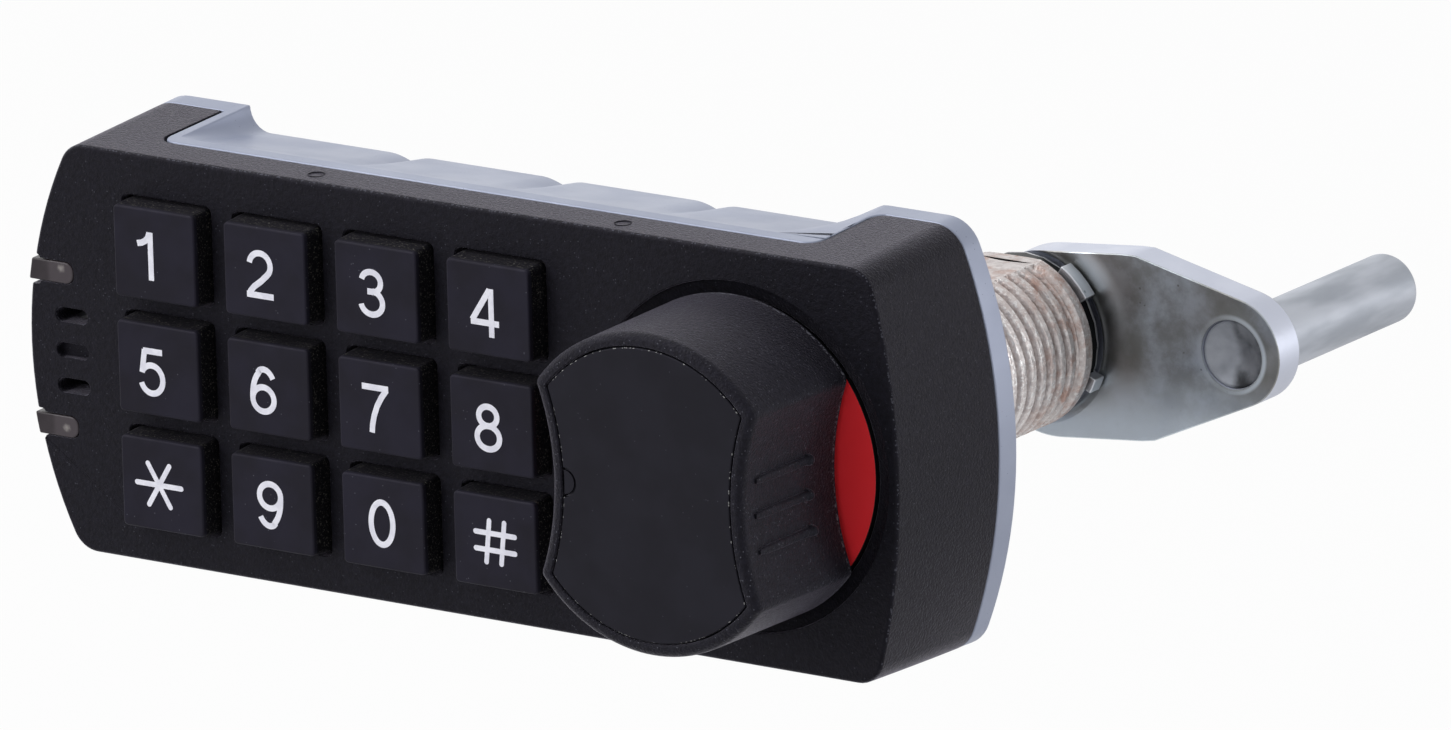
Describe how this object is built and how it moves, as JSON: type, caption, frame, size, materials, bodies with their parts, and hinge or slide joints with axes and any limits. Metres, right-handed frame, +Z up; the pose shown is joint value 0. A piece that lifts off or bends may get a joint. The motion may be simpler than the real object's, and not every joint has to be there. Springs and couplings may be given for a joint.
{
  "type": "combination lock",
  "caption": "Electronic combination cam lock for a locker door: slim body with a pushbutton keypad, a turning knob, a threaded cylinder and a cam with a long pin.",
  "frame": {"origin": "where the axis of the knob and cylinder meets the body's back face, which lies against the door", "axes": "+X to the right along the body seen from the front, +Y through the door away from the viewer, +Z up"},
  "size_m": [0.1211, 0.0998, 0.0454],
  "materials": {
    "cover_plastic": "fine-grained black moulding",
    "knob_plastic": "fine-grained black moulding",
    "face_plastic": "smooth black",
    "key_rubber": "smooth face in a grained edge, pale printed characters",
    "silver_paint": "satin silver paint on a zinc casting",
    "nickel": "nickel plate, worn bright on the thread",
    "zinc": "dull zinc plate",
    "steel": "satin",
    "smoked_lens": "smoke-tinted, clear",
    "status_paint": "red and green quarters",
    "grey_plastic": "plain moulding",
    "silicone": "plain",
    "board": "solder resist",
    "brass": "bright strip"
  },
  "bodies": {
    "housing": {"base_casting": "silver_paint", "front_cover": "cover_plastic", "threaded_cylinder": "nickel", "stop_pin": "steel", "keypad_mat": "silicone", "circuit_board": "board", "light_pipe_upper": "smoked_lens", "light_pipe_lower": "smoked_lens", "sounder": "cover_plastic", "battery_tray": "grey_plastic", "coin_cell_left": "steel", "coin_cell_right": "steel", "battery_contact_left": "brass", "battery_contact_right": "brass", "bearing_bridge": "grey_plastic", "status_disc": "status_paint", "solenoid": "steel", "cover_screw_upper_left": "steel", "cover_screw_lower_left": "steel", "cover_screw_upper_right": "steel", "cover_screw_lower_right": "steel"},
    "knob_drive": {"knob": "knob_plastic", "knob_face_plate": "face_plastic", "knob_screw": "steel", "spindle": "steel", "lock_rotor": "zinc", "stop_washer": "zinc", "cam_plate": "zinc", "cam_pin": "steel", "cam_washer": "zinc", "cam_screw": "steel"},
    "plunger": {"plunger": "steel"},
    "key_1": {"key_1": "key_rubber"},
    "key_2": {"key_2": "key_rubber"},
    "key_3": {"key_3": "key_rubber"},
    "key_4": {"key_4": "key_rubber"},
    "key_5": {"key_5": "key_rubber"},
    "key_6": {"key_6": "key_rubber"},
    "key_7": {"key_7": "key_rubber"},
    "key_8": {"key_8": "key_rubber"},
    "key_star": {"key_star": "key_rubber"},
    "key_9": {"key_9": "key_rubber"},
    "key_0": {"key_0": "key_rubber"},
    "key_hash": {"key_hash": "key_rubber"}
  },
  "joints": [
    {"name": "knob_turn", "type": "hinge", "parent": "housing", "child": "knob_drive", "pos_m": [0, 0, 0], "axis": [0, -1, 0], "range_deg": [0, 90]},
    {"name": "plunger_slide", "type": "slide", "parent": "housing", "child": "plunger", "axis": [1, 0, 0], "range_m": [0, 0.0018]},
    {"name": "key_1_press", "type": "slide", "parent": "housing", "child": "key_1", "axis": [0, 1, 0], "range_m": [0, 0.0008], "stiffness_N_per_m": 600},
    {"name": "key_2_press", "type": "slide", "parent": "housing", "child": "key_2", "axis": [0, 1, 0], "range_m": [0, 0.0008], "stiffness_N_per_m": 600},
    {"name": "key_3_press", "type": "slide", "parent": "housing", "child": "key_3", "axis": [0, 1, 0], "range_m": [0, 0.0008], "stiffness_N_per_m": 600},
    {"name": "key_4_press", "type": "slide", "parent": "housing", "child": "key_4", "axis": [0, 1, 0], "range_m": [0, 0.0008], "stiffness_N_per_m": 600},
    {"name": "key_5_press", "type": "slide", "parent": "housing", "child": "key_5", "axis": [0, 1, 0], "range_m": [0, 0.0008], "stiffness_N_per_m": 600},
    {"name": "key_6_press", "type": "slide", "parent": "housing", "child": "key_6", "axis": [0, 1, 0], "range_m": [0, 0.0008], "stiffness_N_per_m": 600},
    {"name": "key_7_press", "type": "slide", "parent": "housing", "child": "key_7", "axis": [0, 1, 0], "range_m": [0, 0.0008], "stiffness_N_per_m": 600},
    {"name": "key_8_press", "type": "slide", "parent": "housing", "child": "key_8", "axis": [0, 1, 0], "range_m": [0, 0.0008], "stiffness_N_per_m": 600},
    {"name": "key_star_press", "type": "slide", "parent": "housing", "child": "key_star", "axis": [0, 1, 0], "range_m": [0, 0.0008], "stiffness_N_per_m": 600},
    {"name": "key_9_press", "type": "slide", "parent": "housing", "child": "key_9", "axis": [0, 1, 0], "range_m": [0, 0.0008], "stiffness_N_per_m": 600},
    {"name": "key_0_press", "type": "slide", "parent": "housing", "child": "key_0", "axis": [0, 1, 0], "range_m": [0, 0.0008], "stiffness_N_per_m": 600},
    {"name": "key_hash_press", "type": "slide", "parent": "housing", "child": "key_hash", "axis": [0, 1, 0], "range_m": [0, 0.0008], "stiffness_N_per_m": 600}
  ]
}
